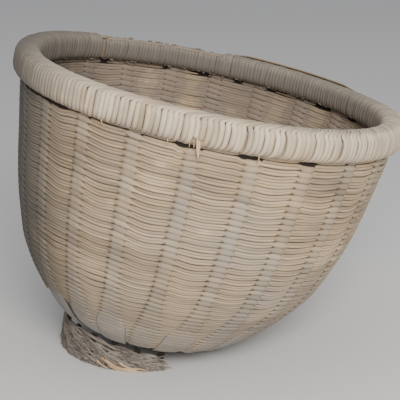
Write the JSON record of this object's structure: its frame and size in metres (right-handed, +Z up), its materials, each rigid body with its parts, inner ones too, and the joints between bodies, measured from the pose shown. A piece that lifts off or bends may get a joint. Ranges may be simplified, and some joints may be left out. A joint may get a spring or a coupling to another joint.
{
  "type": "winnowing basket",
  "caption": "Deep round-bottomed twined bamboo basket with a thick wrapped rim, standing tilted on the worn remains of its foot ring.",
  "frame": {"origin": "middle of the footprint of the basket's box, on the floor it stands on", "axes": "+Z up from the floor; +X towards the low side of the tilted mouth; +Y away from the side where the foot ring is left"},
  "size_m": [0.3966, 0.4014, 0.3257],
  "materials": {
    "twined_strands": "weathered, matte, grey-beige bamboo strands with dust in the gaps",
    "splints": "weathered grey split bamboo, satin where it is rubbed",
    "rim_hoops": "smooth brown split cane",
    "filler_cane": "smooth yellow-tan cane, slightly shiny",
    "rim_wrapping": "narrow cane strips wrapped side by side, worn smooth on top",
    "torn_cane": "freshly broken orange-tan cane",
    "foot_strands": "dirty grey-brown twined strands, frayed"
  },
  "bodies": {
    "root": {"weave_band_01": "twined_strands", "weave_band_02": "twined_strands", "weave_band_03": "twined_strands", "weave_band_04": "twined_strands", "weave_band_05": "twined_strands", "weave_band_06": "twined_strands", "weave_band_07": "twined_strands", "weave_band_08": "twined_strands", "base_splint_across_1": "splints", "base_splint_across_2": "splints", "base_splint_across_3": "splints", "base_splint_across_4": "splints", "base_splint_across_5": "splints", "base_splint_across_6": "splints", "base_splint_lengthways_1": "splints", "base_splint_lengthways_2": "splints", "base_splint_lengthways_3": "splints", "base_splint_lengthways_4": "splints", "base_splint_lengthways_5": "splints", "outer_rim_hoop": "rim_hoops", "inner_rim_hoop": "rim_hoops", "rim_filler_cane": "filler_cane", "rim_wrap_front": "rim_wrapping", "rim_wrap_right": "rim_wrapping", "rim_wrap_left": "rim_wrapping", "rim_wrap_worn_outside": "rim_wrapping", "rim_wrap_worn_inside": "rim_wrapping", "broken_wrapping_end": "torn_cane", "foot_weave": "foot_strands", "foot_stake_1": "splints", "foot_stake_2": "splints", "foot_stake_3": "splints", "foot_stake_4": "splints", "foot_stake_5": "splints", "foot_stake_6": "splints", "foot_stake_7": "splints", "foot_stake_8": "splints", "foot_edge_strip": "torn_cane"}
  },
  "joints": []
}
